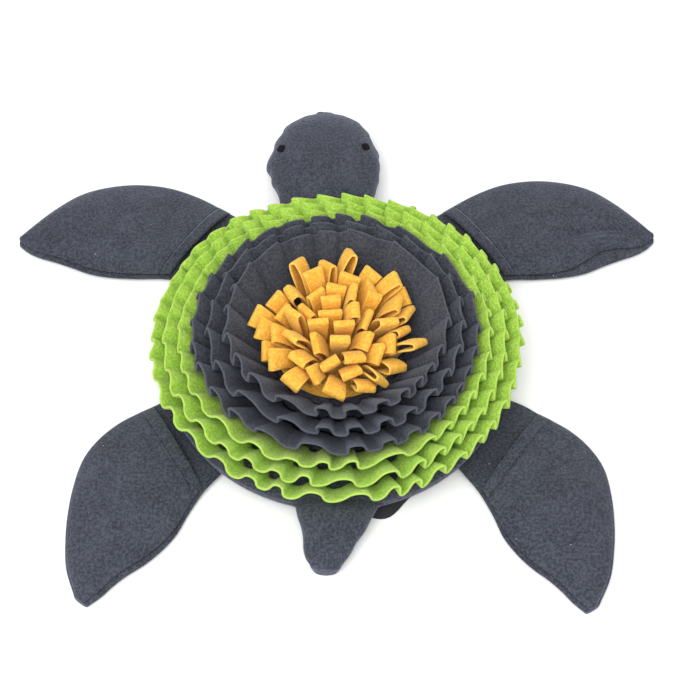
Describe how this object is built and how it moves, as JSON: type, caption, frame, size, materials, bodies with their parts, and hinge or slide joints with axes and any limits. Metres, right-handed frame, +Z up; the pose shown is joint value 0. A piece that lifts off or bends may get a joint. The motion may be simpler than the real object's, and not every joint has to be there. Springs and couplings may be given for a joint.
{
  "type": "snuffle mat",
  "caption": "Turtle-shaped fleece snuffle mat: padded round shell with rings of ruffles round a tuft of loops, stuffed head and tail, and flippers that are open pockets for treats.",
  "frame": {"origin": "on the floor under the middle of the round shell", "axes": "+Z up, +Y towards the head, +X towards the mat's right as seen from above with the head away from you"},
  "size_m": [0.627, 0.5597, 0.0856],
  "materials": {
    "grey_fleece": "brushed slate grey fleece, matt, with a short nap",
    "charcoal_fleece": "darker slate grey fleece, matt, with paler cut edges",
    "green_fleece": "lime green fleece, matt, with paler cut edges",
    "yellow_fleece": "golden yellow fleece, matt, fluffy",
    "black_cloth": "plain woven black cloth",
    "black_thread": "black embroidery thread in satin stitch, slight gloss"
  },
  "bodies": {
    "root": {"bottom_cloth": "black_cloth", "shell_pad": "grey_fleece", "green_ruffle_1": "green_fleece", "green_ruffle_2": "green_fleece", "green_ruffle_3": "green_fleece", "grey_ruffle_1": "charcoal_fleece", "grey_ruffle_2": "charcoal_fleece", "grey_ruffle_3": "charcoal_fleece", "loop_tuft": "yellow_fleece", "front_left_flipper": "grey_fleece", "front_right_flipper": "grey_fleece", "rear_left_flipper": "grey_fleece", "rear_right_flipper": "grey_fleece", "front_left_pocket": "grey_fleece", "front_right_pocket": "grey_fleece", "rear_left_pocket": "grey_fleece", "rear_right_pocket": "grey_fleece", "head": "grey_fleece", "eye_left": "black_thread", "eye_right": "black_thread", "tail": "grey_fleece"}
  },
  "joints": []
}
